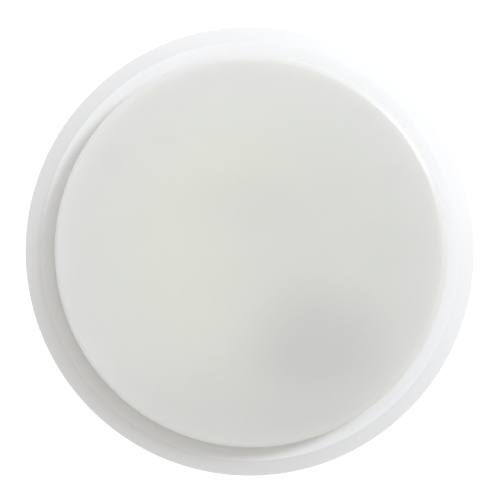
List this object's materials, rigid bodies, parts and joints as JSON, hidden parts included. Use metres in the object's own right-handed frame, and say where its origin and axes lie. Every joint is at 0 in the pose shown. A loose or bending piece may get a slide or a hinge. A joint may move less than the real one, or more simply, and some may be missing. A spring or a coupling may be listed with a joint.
{
  "type": "heat detector",
  "caption": "Low round ceiling heat detector: twist-lock mounting plate, white housing with a bevelled rim, ring of air slots and an opal press-to-test front disc.",
  "frame": {"origin": "centre of the ceiling side of the mounting plate", "axes": "+Z points away from the ceiling and out of the front disc; +X and +Y run through the fixing slots"},
  "size_m": [0.1, 0.1, 0.036],
  "materials": {
    "plate_plastic": "moulded, fine spark texture",
    "cover_plastic": "moulded, satin",
    "housing_plastic": "moulded, glossy white",
    "opal_plastic": "opal, satin gloss, lets light through",
    "cage_plastic": "moulded, satin",
    "spring_steel": "drawn wire",
    "screw_steel": "zinc plated",
    "board": "solder mask, satin",
    "chip_plastic": "moulded epoxy",
    "tin": "tinned",
    "can_aluminium": "drawn can",
    "ferrite": "sintered ferrite",
    "resistor_body": "glazed chip",
    "ceramic": "fired ceramic",
    "switch_plastic": "moulded, satin",
    "stem_plastic": "moulded, satin",
    "led_lens": "tinted diffused epoxy",
    "clear_plastic": "clear moulded",
    "bead_epoxy": "dipped epoxy",
    "sounder_plastic": "moulded, satin",
    "brass": "rolled sheet",
    "piezo": "silvered ceramic",
    "cell_sleeve": "shrink sleeve, plain",
    "nickel": "rolled strip",
    "foam": "closed-cell foam",
    "key_plastic": "moulded, satin",
    "label_paper": "plain printed film, blank"
  },
  "bodies": {
    "mount": {"mounting_plate": "plate_plastic"},
    "alarm": {"rear_cover": "cover_plastic", "front_housing": "housing_plastic", "vent_cage": "cage_plastic", "return_springs": "spring_steel", "circuit_board": "board", "microcontroller": "chip_plastic", "chip_leads": "tin", "capacitors": "can_aluminium", "boost_inductor": "ferrite", "smd_resistors": "resistor_body", "smd_capacitors": "ceramic", "test_switch_body": "switch_plastic", "test_switch_plate": "tin", "status_led": "led_lens", "light_pipe": "clear_plastic", "thermistor_bead": "bead_epoxy", "thermistor_leads": "tin", "thermistor_guard": "cage_plastic", "sounder_housing": "sounder_plastic", "sounder_base": "sounder_plastic", "piezo_plate": "brass", "piezo_ceramic": "piezo", "sounder_contacts": "brass", "battery_cell": "cell_sleeve", "battery_terminals": "nickel", "battery_tags": "nickel", "battery_pad": "foam", "power_switch": "switch_plastic", "housing_screws": "screw_steel", "board_screws": "screw_steel", "rating_label": "label_paper"},
    "front": {"front_disc": "opal_plastic"},
    "plunger": {"test_switch_stem": "stem_plastic"},
    "activation": {"activation_key": "key_plastic", "power_switch_lever": "stem_plastic"}
  },
  "joints": [
    {"name": "housing_twist", "type": "hinge", "parent": "mount", "child": "alarm", "pos_m": [0, 0, 0], "axis": [0, 0, 1], "range_deg": [0, 18]},
    {"name": "front_press", "type": "slide", "parent": "alarm", "child": "front", "axis": [0, 0, 1], "range_m": [-0.001, 0], "stiffness_N_per_m": 2000, "springref_m": 0.001, "deforming": ["return_springs"]},
    {"name": "switch_plunge", "type": "slide", "parent": "alarm", "child": "plunger", "axis": [0, 0, 1], "range_m": [-0.001, 0]},
    {"name": "activation_turn", "type": "hinge", "parent": "alarm", "child": "activation", "pos_m": [0, 0, 0], "axis": [0, 0, 1], "range_deg": [-18, 0]}
  ],
  "couplings": [
    {"joint": "switch_plunge", "follows": "front_press", "ratio": 1},
    {"joint": "activation_turn", "follows": "housing_twist", "ratio": -1}
  ]
}
